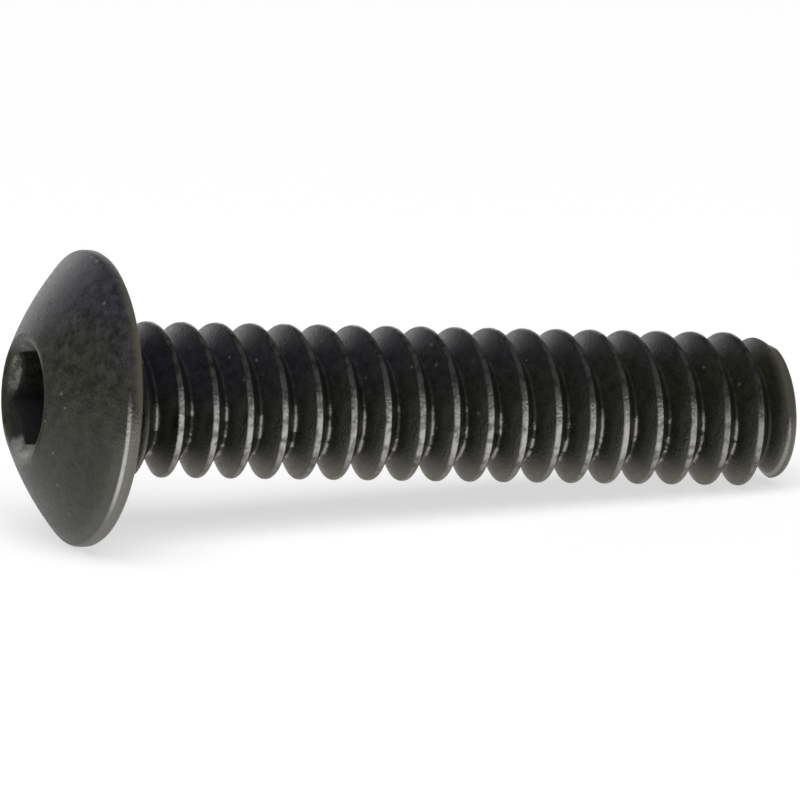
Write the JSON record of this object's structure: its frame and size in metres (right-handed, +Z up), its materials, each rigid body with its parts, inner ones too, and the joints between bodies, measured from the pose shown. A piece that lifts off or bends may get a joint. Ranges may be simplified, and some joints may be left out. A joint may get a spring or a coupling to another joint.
{
  "type": "machine screw",
  "caption": "Button head machine screw with a hex socket in its low dome and a shank threaded up to the head, lying on its side.",
  "frame": {"origin": "on the ground, in the middle of the lying screw's box", "axes": "+X from the head towards the tip, +Z up, +Y across the screw; the screw's own axis dips 5.7 degrees towards the tip, because it rests on its rim and its last full thread"},
  "size_m": [0.0176, 0.0064, 0.0063],
  "materials": {
    "steel": "black oxide, satin"
  },
  "bodies": {
    "root": {"screw": "steel"}
  },
  "joints": []
}
